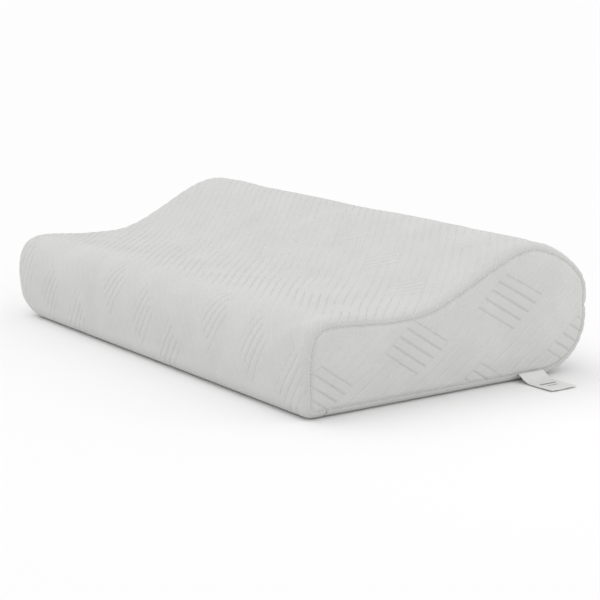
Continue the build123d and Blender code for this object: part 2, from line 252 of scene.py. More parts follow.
def body_swell(x, y, z, s=None):
    """Outward swell (mm) of the stuffed body away from its seams, base and zip."""
    across = 1 - np.abs(x / HALF) ** 4
    low = smooth((z - 6) / 26)
    back = 1 - smooth((y - 118) / 22) * smooth((z - 22) / 14) * smooth((94 - z) / 14)
    return 0.9 * across * low * back


def wander(x, y, z):
    """Slow, shallow unevenness of a foam body under a knitted cover, in mm."""
    a = np.sin(x / 57 + 0.7) * np.cos(y / 43 - 0.4) * 0.45
    b = np.sin(x / 31 - y / 38 + 1.1) * 0.28
    c = np.cos(x / 23 + z / 17 + 2.0) * 0.18
    return a + b + c


def settle(p):
    """What the hand-filled body does over its length, on points in mm: the slacker left end leans out a little at mid
    height with its lower edge tucked up and in, and the high roll sinks a little between it and the right end."""
    p = np.array(p, float)
    x, z = p[..., 0].copy(), p[..., 2].copy()
    u = np.clip((-x - 208) / 42, 0, 1.05)
    low = np.clip(1 - z / 62, 0, 1) ** 2
    roll = smooth((z - 76) / 38)
    p[..., 0] = x - 3.2 * smooth((-x - 195) / 52) * np.sin(np.pi * np.clip((z - 2) / 84, 0, 1)) + 7.5 * u**2 * low
    p[..., 2] = z + 24.0 * u**2.6 * low + roll * -2.6 * smooth((x + 236) / 84)
    return p


SIM = {"tree": None}


def soft_shift(p):
    """Displacement of points p (mm) found by the cloth run of the coarse body."""
    if SIM["tree"] is None:
        return np.zeros_like(p)
    out = np.zeros_like(p)
    tree, moved = SIM["tree"], SIM["moved"]
    for n, q in enumerate(p):
        hits = tree.find_n(q, 5)
        w = np.array([1 / (h[2] ** 2 + 4.0) for h in hits])
        out[n] = (moved[[h[1] for h in hits]] * w[:, None]).sum(0) / w.sum()
    return out


def run_cloth():
    """A short pressure run on a coarse closed body, as the panels' stretch over the foam."""
    n = 150
    s = np.linspace(0, TOTAL, n, endpoint=False)
    y, z, a, b = at(s)
    rings = []
    for e in (0.2, 2.0, 4.5, 8.0):
        inset = 9.0 - math.sqrt(max(81.0 - (9.0 - e) ** 2, 0)) if e < 9.0 else 0
        rings.append((-HALF + e, inset))
    for x in np.linspace(-HALF + 14, HALF - 14, 78):
        rings.append((x, 0))
    rings += [(-x, inset) for x, inset in rings[3::-1]]
    bm = bmesh.new()
    vs = [[bm.verts.new((x * MM, (yy - aa * ins) * MM, (zz - bb * ins) * MM)) for yy, zz, aa, bb in zip(y, z, a, b)] for x, ins in rings]
    for r0, r1 in zip(vs, vs[1:]):
        for m in range(n):
            bm.faces.new((r0[m], r0[(m + 1) % n], r1[(m + 1) % n], r1[m]))
    bm.faces.new(vs[0])
    bm.faces.new(vs[-1][::-1])
    bmesh.ops.recalc_face_normals(bm, faces=bm.faces)
    me = bpy.data.meshes.new("stretch_body")
    bm.to_mesh(me)
    bm.free()
    ob = bpy.data.objects.new("stretch_body", me)
    bpy.context.collection.objects.link(ob)
    mod = ob.modifiers.new("remesh", "REMESH")
    mod.mode = "VOXEL"
    mod.voxel_size = 0.0056
    dep = bpy.context.evaluated_depsgraph_get()
    fine = bpy.data.meshes.new_from_object(ob.evaluated_get(dep))
    ob.modifiers.clear()
    ob.data = fine
    rest = np.array([v.co for v in fine.vertices])
    group = ob.vertex_groups.new(name="held")
    held = (rest[:, 2] < 0.004) | ((rest[:, 1] > 0.142) & (rest[:, 2] > 0.04) & (rest[:, 2] < 0.08))
    near_seam = np.abs(np.abs(rest[:, 0]) - 0.2485) < 0.003
    yy, zz = rest[:, 1] * 1000, rest[:, 2] * 1000
    tree = KDTree(len(SGRID))
    for m in range(len(SGRID)):
        tree.insert((LY[m], LZ[m], 0), m)
    tree.balance()
    edge = np.array([tree.find((a1, b1, 0))[2] for a1, b1 in zip(yy, zz)])
    held |= near_seam & (edge < 11)
    group.add([int(v) for v in np.nonzero(held)[0]], 1.0, "REPLACE")
    cl = ob.modifiers.new("cloth", "CLOTH")
    st = cl.settings
    st.quality = 5
    st.mass = 0.35
    st.tension_stiffness = st.compression_stiffness = 22
    st.shear_stiffness = 9
    st.bending_stiffness = 4
    st.use_pressure = True
    st.uniform_pressure_force = 4.0
    st.shrink_min = -0.012
    st.vertex_group_mass = "held"
    st.effector_weights.gravity = 0
    cl.collision_settings.use_self_collision = False
    cl.point_cache.frame_start, cl.point_cache.frame_end = 1, 16
    scene = bpy.context.scene
    for f in range(1, 17):
        scene.frame_set(f)
        bpy.context.view_layer.update()
    dep = bpy.context.evaluated_depsgraph_get()
    got = bpy.data.meshes.new_from_object(ob.evaluated_get(dep))
    now = np.array([v.co for v in got.vertices])
    moved = (now - rest) * 1000 if len(now) == len(rest) else np.zeros_like(rest)
    scene.frame_set(1)
    size = np.linalg.norm(moved, axis=1)
    print("cloth run: mean", round(float(size.mean()), 2), "max", round(float(size.max()), 2), "mm on", len(rest), "points")
    cap = 3.2
    moved *= np.minimum(1, cap / np.maximum(size, 1e-6))[:, None] ** 0.85
    # the base stays flat and the zip stays where the slider runs
    moved *= (smooth((zz - 3) / 18) * (1 - smooth((yy - 116) / 22) * smooth((zz - 20) / 14) * smooth((96 - zz) / 14)))[:, None]
    moved *= min(1.0, 2.6 / max(np.percentile(np.linalg.norm(moved, axis=1), 98), 1e-6))
    tree = KDTree(len(rest))
    for m, q in enumerate(rest * 1000):
        tree.insert(q, m)
    tree.balance()
    SIM["tree"], SIM["moved"] = tree, moved
    bpy.data.objects.remove(ob)


run_cloth()

# ---------------------------------------------------------------- mesh helpers


def add_mesh(name, verts_mm, faces, smooth_faces=True, pat=None, amp=None, soft=False):
    if soft:
        verts_mm = settle(verts_mm)
    me = bpy.data.meshes.new(name)
    me.from_pydata([tuple(v) for v in np.asarray(verts_mm, float) * MM], [], [tuple(int(q) for q in f) for f in faces])
    me.validate()
    if smooth_faces:
        me.polygons.foreach_set("use_smooth", [True] * len(me.polygons))
    for label_, rows in (("pat", pat), ("amp", amp)):
        if rows is not None:
            at_ = me.attributes.new(label_, "FLOAT_VECTOR", "POINT")
            at_.data.foreach_set("vector", np.asarray(rows, np.float32).ravel())
    me.update()
    ob = bpy.data.objects.new(name, me)
    bpy.context.collection.objects.link(ob)
    return ob


def outward(ob):
    bm = bmesh.new()
    bm.from_mesh(ob.data)
    bmesh.ops.recalc_face_normals(bm, faces=bm.faces)
    bm.to_mesh(ob.data)
    bm.free()
    return ob


def wrap_point(x_arc, s, lift, inner=0.0):
    """x_arc runs along the length and on round the rounded end; lift is outward, inner is thickness inwards."""
    sgn = np.sign(x_arc)
    big = np.where(x_arc < 0, END_R[-1], END_R[1])
    flat = HALF - big
    over = np.maximum(np.abs(x_arc) - flat, 0) / big
    y, z, a, b = at(s)
    out = lift - inner
    r = big + out
    x = np.where(over > 0, sgn * (flat + r * np.sin(over)), x_arc)
    ins = np.where(over > 0, big - r * np.cos(over), -out)
    return np.stack([x, y - a * ins, z - b * ins], -1)


ARC = {side: HALF - r + r * math.acos((r - SEAM_IN) / r) for side, r in END_R.items()}


def to_seam(x_arc):
    """Distance (mm) along the fabric to the end seam."""
    return np.where(x_arc < 0, ARC[-1] + x_arc, ARC[1] - x_arc)


def wrap_lift(xa, s, emboss=0.74):
    pat = wrap_pat(xa, s)
    amp = wrap_amp(xa, s)
    h = ribs(pat, amp) * emboss - 0.5
    e = to_seam(xa)
    # seam allowance makes a low ridge, and the pattern flattens as the fabric turns into the seam
    h = h * smooth((e - 0.5) / 3.0) + 0.75 * np.exp(-(((e - 3.4) / 2.2) ** 2))
    h -= 0.55 * smooth(1 - e / 1.2)
    # puckers of the stitched edge
    h += 0.13 * np.sin(s / 2.1 + 0.8 * np.sin(s / 9.0)) * np.exp(-(((e - 4.5) / 3.2) ** 2))
    return h, pat, amp


def wrap_panel(name, s0, s1, ns, nx, shift_lo=0.0, shift_hi=0.0, thick=2.0):
    """One sewn panel of the wrap as a closed shell. shift_* move an edge off the zip slot for |x| > 220."""
    # finer columns near the ends, where the fabric turns into the seam
    t = np.linspace(-1, 1, nx)
    u = 0.86 * t + 0.14 * np.sign(t) * (1 - (1 - np.abs(t)) ** 2.0)
    u = np.where(u < 0, u * ARC[-1], u * ARC[1])
    v = np.linspace(0, 1, ns)
    X, V = np.meshgrid(u, v, indexing="ij")
    ends = smooth((np.abs(X) - 217.0) / 6.0)
    S = s0 + (s1 - s0) * V
    S = S + shift_hi * ends * smooth((S - (s1 - 26)) / 26) + shift_lo * ends * smooth(((s0 + 26) - S) / 26)
    lift, pat, amp = wrap_lift(X, S)
    y, z, a, b = at(S)
    # the turned edge at the zip and at the seam on the underside
    d0, d1 = (V * (s1 - s0)), ((1 - V) * (s1 - s0))
    edge = np.minimum(d0, d1)
    lift = lift * smooth(edge / 2.5) - 0.5 * smooth(1 - edge / 1.6)
    flat_part = smooth((z + 0.4) / 4.0)
    lift = np.where(z < 4.0, np.minimum(lift, 0) * (1 - flat_part) * 0.9 + lift * flat_part, lift)
    grow = body_swell(X, y, z) + wander(X, y, z) * smooth((z - 4) / 20) * (1 - smooth((y - 116) / 22) * smooth((z - 20) / 14) * smooth((96 - z) / 14)) * smooth(to_seam(X) / 30)
    P = wrap_point(X, S, lift + grow)
    base_pts = wrap_point(X, S, 0 * lift)
    P = P + soft_shift(base_pts.reshape(-1, 3)).reshape(P.shape) * 0.42
    P[..., 2] = np.maximum(P[..., 2], 0.0)
    nxx, nss = X.shape
    idx = np.arange(nxx * nss).reshape(nxx, nss)
    faces = np.stack([idx[:-1, :-1], idx[1:, :-1], idx[1:, 1:], idx[:-1, 1:]], -1).reshape(-1, 4).tolist()
    verts = P.reshape(-1, 3)
    # inner face: same rim, coarse inside
    rim = np.concatenate([idx[:, 0], idx[-1, 1:], idx[-2::-1, -1], idx[0, -2:0:-1]])
    rx, rs = X.reshape(-1)[rim], S.reshape(-1)[rim]
    gx = np.linspace(-ARC[-1] + 6, ARC[1] - 6, 64)
    gs = np.linspace(s0 + 6, s1 - 6, max(4, int((s1 - s0) / 8)))
    GX, GS = np.meshgrid(gx, gs, indexing="ij")
    px = np.concatenate([rx, GX.ravel()])
    ps = np.concatenate([rs, GS.ravel()])
    nr = len(rim)
    co, _, fs, ov, _, _ = delaunay_2d_cdt([Vector(q) for q in zip(px.tolist(), ps.tolist())], [(m, (m + 1) % nr) for m in range(nr)], [], 1, 1e-4)
    co = np.array([tuple(c) for c in co])
    yy, zz, _, _ = at(co[:, 1])
    grow_i = body_swell(co[:, 0], yy, zz)
    inner_v = wrap_point(co[:, 0], co[:, 1], grow_i, inner=thick)
    # map the rim of the inner face to the outer one
    order = [None] * nr
    for new, src in enumerate(ov):
        for q in src:
            if q < nr:
                order[q] = new
    off = len(verts)
    verts = np.concatenate([verts, inner_v])
    for f in fs:
        faces.append([off + q for q in f][::-1])
    for m in range(nr):
        m2 = (m + 1) % nr
        faces.append([rim[m2], rim[m], off + order[m], off + order[m2]])
    rows = np.concatenate([np.stack([q.ravel() for q in pat], 1), np.stack(wrap_pat(co[:, 0], co[:, 1]), 1)])
    amps = np.concatenate([np.stack([q.ravel() for q in amp], 1), np.stack(wrap_amp(co[:, 0], co[:, 1]), 1)])
    ob = add_mesh(name, verts, faces, pat=rows, amp=np.pad(amps, ((0, 0), (0, 1))), soft=True)
    return outward(ob)


def inset_loop(inset, n):
    s = np.linspace(0, TOTAL, n, endpoint=False)
    y, z, a, b = at(s)
    return np.stack([y - a * inset, z - b * inset], 1), s


def end_panel(name, side, pitch, pat_fn):
    n = int(TOTAL / pitch)
    inset = SEAM_IN + 0.1
    rim, _ = inset_loop(inset, n)
    rim2, _ = inset_loop(inset + 1.1, n)
    y = np.arange(-150, 150, pitch)
    z = np.arange(0, 120, pitch * 0.9)
    Y, Z = np.meshgrid(y, z, indexing="ij")
    Y = Y + (np.arange(len(z)) % 2)[None, :] * pitch / 2
    pts = np.stack([Y.ravel(), Z.ravel()], 1)
    tree = KDTree(len(SGRID))
    for m in range(len(SGRID)):
        tree.insert((LY[m], LZ[m], 0), m)
    tree.balance()
    dist = np.zeros(len(pts))
    inside = np.zeros(len(pts), bool)
    for m, (a1, b1) in enumerate(pts):
        q, i0, d0 = tree.find((a1, b1, 0))
        inside[m] = (a1 - LY[i0]) * ny[i0] + (b1 - LZ[i0]) * nz[i0] < 0
        dist[m] = d0
    keep = inside & (dist > inset + 1.1 + pitch * 0.6)
    pts, dist = pts[keep], dist[keep]
    allp = np.concatenate([rim, rim2, pts])
    dd = np.concatenate([np.full(n, inset), np.full(n, inset + 1.1), dist])
    co, _, fs, ov, _, _ = delaunay_2d_cdt([Vector(q) for q in allp.tolist()], [(m, (m + 1) % n) for m in range(n)], [], 1, 1e-4)
    co = np.array([tuple(c) for c in co])
    d = np.array([dd[src[0]] for src in ov]) - inset
    pat = pat_fn(co[:, 0], co[:, 1])
    h = (ribs(pat, (0.62, 0.74), groove=1.5, long_groove=1.7) - 1) * 1.2 + 0.9
    h = h * smooth((d - 0.6) / 3.5)
    # height over the cut edge: quickly up out of the seam groove, then slowly out to the belly of the panel
    x = 248.95 + 0.75 * smooth(d / 2.4) + 1.5 * (1 - np.exp(-d / 11.0)) + h
    s_pos = np.arctan2(co[:, 1] - 45, co[:, 0]) * 70
    x += 0.14 * np.sin(s_pos / 2.3) * np.exp(-(((d - 3.0) / 2.5) ** 2))
    x += 0.5 * wander(co[:, 0] * 1.1, co[:, 1] * 1.3, 20) * smooth(d / 20)
    P = np.stack([side * x, co[:, 0], co[:, 1]], 1)
    move = soft_shift(np.stack([np.full(len(co), side * 249.0), co[:, 0], co[:, 1]], 1))
    P[:, 0] += move[:, 0] * 0.5 * smooth(d / 8)
    nv = len(P)
    back = P.copy()
    back[:, 0] = side * np.maximum(245.9, np.minimum(246.2, np.abs(P[:, 0]) - 1.8))
    order = [None] * n
    for new, src in enumerate(ov):
        for q in src:
            if q < n:
                order[q] = new
    # coarse inner face
    gy = np.arange(-146, 148, 9.0)
    gz = np.arange(4, 116, 9.0)
    GY, GZ = np.meshgrid(gy, gz, indexing="ij")
    g = np.stack([GY.ravel(), GZ.ravel()], 1)
    ok = []
    for a1, b1 in g:
        q, i0, d0 = tree.find((a1, b1, 0))
        ok.append((a1 - LY[i0]) * ny[i0] + (b1 - LZ[i0]) * nz[i0] < 0 and d0 > inset + 5)
    g = g[np.array(ok)]
    co2, _, fs2, ov2, _, _ = delaunay_2d_cdt([Vector(q) for q in np.concatenate([rim, g]).tolist()], [(m, (m + 1) % n) for m in range(n)], [], 1, 1e-4)
    co2 = np.array([tuple(c) for c in co2])
    order2 = [None] * n
    for new, src in enumerate(ov2):
        for q in src:
            if q < n:
                order2[q] = new
    faces = [list(f) for f in fs]
    verts = np.concatenate([P, np.stack([np.full(len(co2), side * 246.2), co2[:, 0], co2[:, 1]], 1)])
    faces += [[nv + q for q in f][::-1] for f in fs2]
    for m in range(n):
        m2 = (m + 1) % n
        faces.append([order[m2], order[m], nv + order2[m], nv + order2[m2]])
    rows = np.concatenate([np.stack(pat, 1), np.stack(pat_fn(co2[:, 0], co2[:, 1]), 1)])
    amps = np.tile([1.0, 1.0, 0.0], (len(verts), 1))
    ob = add_mesh(name, verts, faces, pat=rows, amp=amps, soft=True)
    return outward(ob)


# ---------------------------------------------------------------- materials


def new_material(name):
    m = bpy.data.materials.new(name)
    m.use_nodes = True
    nt = m.node_tree
    bsdf = nt.nodes.get("Principled BSDF")
    return m, nt, bsdf


def math_node(nt, op, a, b=None, clamp=False):
    n = nt.nodes.new("ShaderNodeMath")
    n.operation = op
    n.use_clamp = clamp
    for k_, v in enumerate((a, b)):
        if v is None:
            continue
        if isinstance(v, (int, float)):
            n.inputs[k_].default_value = v
        else:
            nt.links.new(v, n.inputs[k_])
    return n.outputs[0]


def ramp_node(nt, fac, stops):
    n = nt.nodes.new("ShaderNodeValToRGB")
    n.color_ramp.elements[0].position, n.color_ramp.elements[0].color = stops[0][0], stops[0][1]
    n.color_ramp.elements[1].position, n.color_ramp.elements[1].color = stops[-1][0], stops[-1][1]
    for p, c in stops[1:-1]:
        e = n.color_ramp.elements.new(p)
        e.color = c
    nt.links.new(fac, n.inputs[0])
    return n.outputs[0]


def knit_material(name, light, dark, painted_light_a, painted_light_b, fine=1.0):
    """painted_light_a, painted_light_b: painted light along the lines of the long and the short ribs; how much darker
    (+, painted shade) or paler (-, painted highlight) these lines are painted.
    """
    m, nt, bsdf = new_material(name)
    bsdf.inputs["Roughness"].default_value = 0.9
    bsdf.inputs["Specular IOR Level"].default_value = 0.18
    bsdf.inputs["Sheen Weight"].default_value = 0.12
    bsdf.inputs["Sheen Roughness"].default_value = 0.5
    att = nt.nodes.new("ShaderNodeAttribute")
    att.attribute_name = "pat"
    sep = nt.nodes.new("ShaderNodeSeparateXYZ")
    nt.links.new(att.outputs["Vector"], sep.inputs[0])
    ta, tb, mm_ = sep.outputs[0], sep.outputs[1], sep.outputs[2]

    def fold(v):
        f = math_node(nt, "FRACT", v)
        e = math_node(nt, "MINIMUM", f, math_node(nt, "SUBTRACT", 1.0, f))
        return math_node(nt, "MULTIPLY", e, 9.5)

    inside = math_node(nt, "GREATER_THAN", mm_, 0.0)
    outside = math_node(nt, "SUBTRACT", 1.0, inside)
    d_b = fold(tb)
    d_a = fold(ta)
    line_b = math_node(nt, "SUBTRACT", 1.0, math_node(nt, "DIVIDE", d_b, 1.25, clamp=True))
    line_a = math_node(nt, "SUBTRACT", 1.0, math_node(nt, "DIVIDE", d_a, 0.9, clamp=True))
    att2 = nt.nodes.new("ShaderNodeAttribute")
    att2.attribute_name = "amp"
    sep2 = nt.nodes.new("ShaderNodeSeparateXYZ")
    nt.links.new(att2.outputs["Vector"], sep2.inputs[0])
    # amp scales the groove lines, both for the bump and for the painted shade and highlight in the colour below
    line_b = math_node(nt, "MULTIPLY", math_node(nt, "MULTIPLY", line_b, inside), sep2.outputs[1])
    line_a = math_node(nt, "MULTIPLY", math_node(nt, "MULTIPLY", line_a, outside), sep2.outputs[0])

    tex = nt.nodes.new("ShaderNodeTexCoord")
    scale = nt.nodes.new("ShaderNodeMapping")
    scale.inputs["Scale"].default_value = (1000, 1000, 1000)
    nt.links.new(tex.outputs["Object"], scale.inputs[0])
    knit = nt.nodes.new("ShaderNodeTexNoise")
    knit.inputs["Scale"].default_value = 0.85 * fine
    knit.inputs["Detail"].default_value = 3.0
    knit.inputs["Roughness"].default_value = 0.65
    nt.links.new(scale.outputs[0], knit.inputs["Vector"])
    rows = nt.nodes.new("ShaderNodeTexVoronoi")
    rows.feature = "F1"
    rows.inputs["Scale"].default_value = 0.62 * fine
    rows.inputs["Randomness"].default_value = 0.55
    nt.links.new(scale.outputs[0], rows.inputs["Vector"])
    mott = nt.nodes.new("ShaderNodeTexNoise")
    mott.inputs["Scale"].default_value = 0.03
    mott.inputs["Detail"].default_value = 2.0
    nt.links.new(scale.outputs[0], mott.inputs["Vector"])

    sunk = math_node(nt, "MAXIMUM", line_a, line_b)
    h1 = math_node(nt, "MULTIPLY", math_node(nt, "SUBTRACT", 1.0, sunk), 0.6)
    h2 = math_node(nt, "MULTIPLY", knit.outputs["Fac"], 0.30)
    h3 = math_node(nt, "MULTIPLY", math_node(nt, "SUBTRACT", 1.0, rows.outputs["Distance"]), 0.22)
    hs = math_node(nt, "ADD", math_node(nt, "ADD", h1, h2), h3)
    bump = nt.nodes.new("ShaderNodeBump")
    bump.inputs["Strength"].default_value = 0.7
    bump.inputs["Distance"].default_value = 0.0008
    nt.links.new(hs, bump.inputs["Height"])
    nt.links.new(bump.outputs[0], bsdf.inputs["Normal"])

    f = math_node(nt, "ADD", math_node(nt, "MULTIPLY", knit.outputs["Fac"], 0.30), math_node(nt, "MULTIPLY", mott.outputs["Fac"], 0.22))
    f = math_node(nt, "ADD", f, 0.40)
    # painted shade (+) and painted highlight (-) laid into the colour along the rib grooves
    f = math_node(nt, "SUBTRACT", f, math_node(nt, "MULTIPLY", line_a, painted_light_a))
    f = math_node(nt, "SUBTRACT", f, math_node(nt, "MULTIPLY", line_b, painted_light_b), clamp=True)
    col = ramp_node(nt, f, [(0.0, dark), (1.0, light)])
    nt.links.new(col, bsdf.inputs["Base Color"])
    return m


def plain_cloth(name, light, dark, scale, rough=0.85, bump_mm=0.12, sheen=0.1, metallic=0.0, detail=3.0, spec=0.3):
    m, nt, bsdf = new_material(name)
    bsdf.inputs["Roughness"].default_value = rough
    bsdf.inputs["Metallic"].default_value = metallic
    bsdf.inputs["Specular IOR Level"].default_value = spec
    bsdf.inputs["Sheen Weight"].default_value = sheen
    tex = nt.nodes.new("ShaderNodeTexCoord")
    mp = nt.nodes.new("ShaderNodeMapping")
    mp.inputs["Scale"].default_value = (1000, 1000, 1000)
    nt.links.new(tex.outputs["Object"], mp.inputs[0])
    n = nt.nodes.new("ShaderNodeTexNoise")
    n.inputs["Scale"].default_value = scale
    n.inputs["Detail"].default_value = detail
    nt.links.new(mp.outputs[0], n.inputs["Vector"])
    nt.links.new(ramp_node(nt, n.outputs["Fac"], [(0.3, dark), (0.7, light)]), bsdf.inputs["Base Color"])
    b = nt.nodes.new("ShaderNodeBump")
    b.inputs["Strength"].default_value = 0.5
    b.inputs["Distance"].default_value = bump_mm * MM
    nt.links.new(n.outputs["Fac"], b.inputs["Height"])
    nt.links.new(b.outputs[0], bsdf.inputs["Normal"])
    return m


def weave_material(name, light, dark, pitch, rough=0.8):
    """Flat woven tape: crossed bands over object coordinates."""
    m, nt, bsdf = new_material(name)
    bsdf.inputs["Roughness"].default_value = rough
    bsdf.inputs["Specular IOR Level"].default_value = 0.25
    tex = nt.nodes.new("ShaderNodeTexCoord")
    mp = nt.nodes.new("ShaderNodeMapping")
    mp.inputs["Scale"].default_value = (1000 / pitch, 1000 / pitch, 1000 / pitch)
    nt.links.new(tex.outputs["Object"], mp.inputs[0])
    sep = nt.nodes.new("ShaderNodeSeparateXYZ")
    nt.links.new(mp.outputs[0], sep.inputs[0])
    a = math_node(nt, "SINE", math_node(nt, "MULTIPLY", sep.outputs[0], 6.2832))
    c = math_node(nt, "SINE", math_node(nt, "MULTIPLY", math_node(nt, "ADD", sep.outputs[1], sep.outputs[2]), 6.2832))
    h = math_node(nt, "ADD", math_node(nt, "MULTIPLY", math_node(nt, "MULTIPLY", a, c), 0.5), 0.5)
    nt.links.new(ramp_node(nt, h, [(0.0, dark), (1.0, light)]), bsdf.inputs["Base Color"])
    b = nt.nodes.new("ShaderNodeBump")
    b.inputs["Strength"].default_value = 0.6
    b.inputs["Distance"].default_value = 0.00015
    nt.links.new(h, b.inputs["Height"])
    nt.links.new(b.outputs[0], bsdf.inputs["Normal"])
    return m


# wrap knit: its long-rib and short-rib lines are painted paler, a painted highlight along the grooves
KNIT = knit_material("knit_cover", (0.680, 0.690, 0.676, 1), (0.37, 0.377, 0.366, 1), -0.32, -0.26)
# a lighter copy of the knit for the end panels, painted light on them; its long-rib lines are painted paler (painted
# highlight) and its short-rib lines darker (painted shade)
KNIT_END_PAINTED_LIGHT = knit_material("knit_cover_end", (0.719, 0.728, 0.705, 1), (0.36, 0.365, 0.352, 1), -0.22, 0.12)
THREAD = plain_cloth("thread", (0.74, 0.74, 0.73, 1), (0.60, 0.60, 0.59, 1), 2.6, rough=0.6, bump_mm=0.08)
FOAM = plain_cloth("foam", (0.80, 0.77, 0.66, 1), (0.66, 0.62, 0.50, 1), 0.8, rough=0.95, bump_mm=0.5, detail=6.0)
LINER = plain_cloth("liner", (0.78, 0.78, 0.77, 1), (0.66, 0.66, 0.66, 1), 1.5, rough=0.9, bump_mm=0.15)
TAPE = weave_material("zip_tape", (0.72, 0.72, 0.71, 1), (0.55, 0.55, 0.54, 1), 0.9)
COIL = plain_cloth("zip_coil", (0.76, 0.76, 0.75, 1), (0.68, 0.68, 0.67, 1), 0.5, rough=0.35, bump_mm=0.02, sheen=0.0, spec=0.5)
METAL = plain_cloth("zip_metal", (0.72, 0.72, 0.72, 1), (0.60, 0.60, 0.61, 1), 0.35, rough=0.32, bump_mm=0.02, sheen=0.0, metallic=0.85, spec=0.5)
CARE = weave_material("care_label", (0.86, 0.86, 0.85, 1), (0.76, 0.76, 0.75, 1), 0.6, rough=0.6)


def label_material():
    """Pale woven side label with two grey bars, a plain motif that says nothing."""
    m, nt, bsdf = new_material("label")
    bsdf.inputs["Roughness"].default_value = 0.55
    bsdf.inputs["Specular IOR Level"].default_value = 0.4
    tex = nt.nodes.new("ShaderNodeTexCoord")
    mp = nt.nodes.new("ShaderNodeMapping")
    mp.inputs["Scale"].default_value = (1000, 1000, 1000)
    nt.links.new(tex.outputs["Object"], mp.inputs[0])
    sep = nt.nodes.new("ShaderNodeSeparateXYZ")
    nt.links.new(mp.outputs[0], sep.inputs[0])
    x, y = sep.outputs[0], sep.outputs[1]

    def between(v, lo, hi):
        return math_node(nt, "MULTIPLY", math_node(nt, "GREATER_THAN", v, lo), math_node(nt, "LESS_THAN", v, hi))

    bars = math_node(nt, "MULTIPLY", between(x, 270.5, 273.3), between(y, 74.5, 92.5))
    bars2 = math_node(nt, "MULTIPLY", between(x, 276.6, 278.2), between(y, 77.5, 89.5))
    mark = math_node(nt, "ADD", bars, bars2, clamp=True)
    n = nt.nodes.new("ShaderNodeTexNoise")
    n.inputs["Scale"].default_value = 2.2
    nt.links.new(mp.outputs[0], n.inputs["Vector"])
    shade = math_node(nt, "MULTIPLY", n.outputs["Fac"], 0.16)
    f = math_node(nt, "SUBTRACT", math_node(nt, "ADD", shade, 0.86), math_node(nt, "MULTIPLY", mark, 0.62), clamp=True)
    nt.links.new(ramp_node(nt, f, [(0.2, (0.17, 0.18, 0.20, 1)), (0.86, (0.70, 0.70, 0.69, 1)), (1.0, (0.76, 0.76, 0.75, 1))]), bsdf.inputs["Base Color"])
    rib = math_node(nt, "SINE", math_node(nt, "MULTIPLY", y, 10.0))
    b = nt.nodes.new("ShaderNodeBump")
    b.inputs["Strength"].default_value = 0.4
    b.inputs["Distance"].default_value = 0.00008
    nt.links.new(rib, b.inputs["Height"])
    nt.links.new(b.outputs[0], bsdf.inputs["Normal"])
    return m


LABEL = label_material()


def dress(ob, material):
    ob.data.materials.clear()
    ob.data.materials.append(material)


# ---------------------------------------------------------------- cover panels

coarse = 1.0
nx_top, ns_top = int(330 / coarse), int(280 / coarse)
cover_top = wrap_panel("cover_top_knit", -8.7, S_ZIP_HI, ns_top, nx_top, shift_hi=(S_ZIP - S_ZIP_HI) - 0.35)
nx_b, ns_b = int(250 / coarse), int(190 / coarse)
cover_bottom = wrap_panel("cover_bottom_knit", S_ZIP_LO, S_SEAM - 0.3, ns_b, nx_b, shift_lo=(S_ZIP - S_ZIP_LO) + 0.35)
pitch = 1.05
end_right = end_panel("cover_end_right_knit", 1, pitch, end_pat)
end_left = end_panel("cover_end_left_knit", -1, pitch, lambda y, z: end_pat(-y + 31.0, z + 9.0))
for ob, node in ((cover_top, "cover_top"), (cover_bottom, "cover_bottom"), (end_right, "cover_end_right"), (end_left, "cover_end_left")):
    # the end panels take the lighter knit copy with its painted light
    dress(ob, KNIT_END_PAINTED_LIGHT if "_end_" in node else KNIT)
    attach(ob, "root")
    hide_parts(node)

# ---------------------------------------------------------------- foam, inner case and care label


